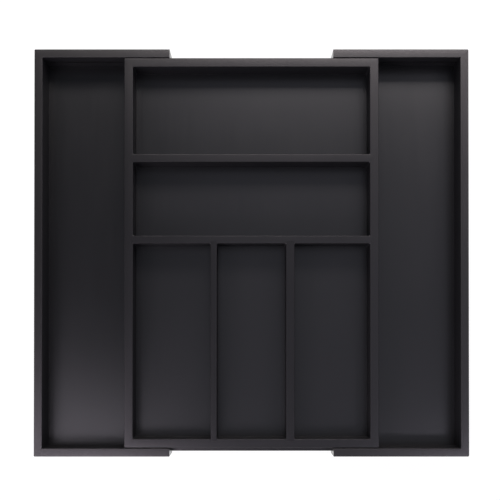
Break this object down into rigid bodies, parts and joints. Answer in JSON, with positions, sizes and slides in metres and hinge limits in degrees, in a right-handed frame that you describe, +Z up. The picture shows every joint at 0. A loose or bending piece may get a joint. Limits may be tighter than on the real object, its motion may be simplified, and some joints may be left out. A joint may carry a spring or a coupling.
{
  "type": "expandable cutlery tray",
  "caption": "Black lacquered wooden cutlery tray for a drawer: a divided centre tray between side trays that slide out to widen it.",
  "frame": {"origin": "middle of the tray on the surface that it stands on, with both side trays drawn out", "axes": "+X to the right, along the slides; +Y to the back of the drawer; +Z up"},
  "size_m": [0.48, 0.45, 0.065],
  "materials": {
    "black_lacquer": "satin black lacquer on wood",
    "black_floor": "satin black lacquer on a thin panel",
    "raw_bamboo": "bare sanded wood, hidden under the centre tray",
    "pin_steel": "bright steel",
    "foot_rubber": "matt rubber"
  },
  "bodies": {
    "centre_tray": {"centre_base_panel": "black_floor", "centre_back_wall": "black_lacquer", "centre_front_wall": "black_lacquer", "centre_left_wall": "black_lacquer", "centre_right_wall": "black_lacquer", "rear_divider": "black_lacquer", "middle_divider": "black_lacquer", "long_divider_left": "black_lacquer", "long_divider_right": "black_lacquer", "slide_rail_back": "black_lacquer", "slide_rail_front": "black_lacquer", "centre_corner_pins": "pin_steel", "divider_pins": "pin_steel"},
    "left_tray": {"left_base_panel": "black_floor", "left_outer_wall": "black_lacquer", "left_back_wall": "black_lacquer", "left_front_wall": "black_lacquer", "left_stop_batten": "raw_bamboo", "left_batten_screws": "pin_steel", "left_corner_pins": "pin_steel", "left_base_pins": "pin_steel", "left_feet": "foot_rubber"},
    "right_tray": {"right_base_panel": "black_floor", "right_outer_wall": "black_lacquer", "right_back_wall": "black_lacquer", "right_front_wall": "black_lacquer", "right_stop_batten": "raw_bamboo", "right_batten_screws": "pin_steel", "right_corner_pins": "pin_steel", "right_base_pins": "pin_steel", "right_feet": "foot_rubber"}
  },
  "joints": [
    {"name": "left_tray_slide", "type": "slide", "parent": "centre_tray", "child": "left_tray", "axis": [1, 0, 0], "range_m": [0, 0.09]},
    {"name": "right_tray_slide", "type": "slide", "parent": "centre_tray", "child": "right_tray", "axis": [-1, 0, 0], "range_m": [0, 0.09]}
  ]
}
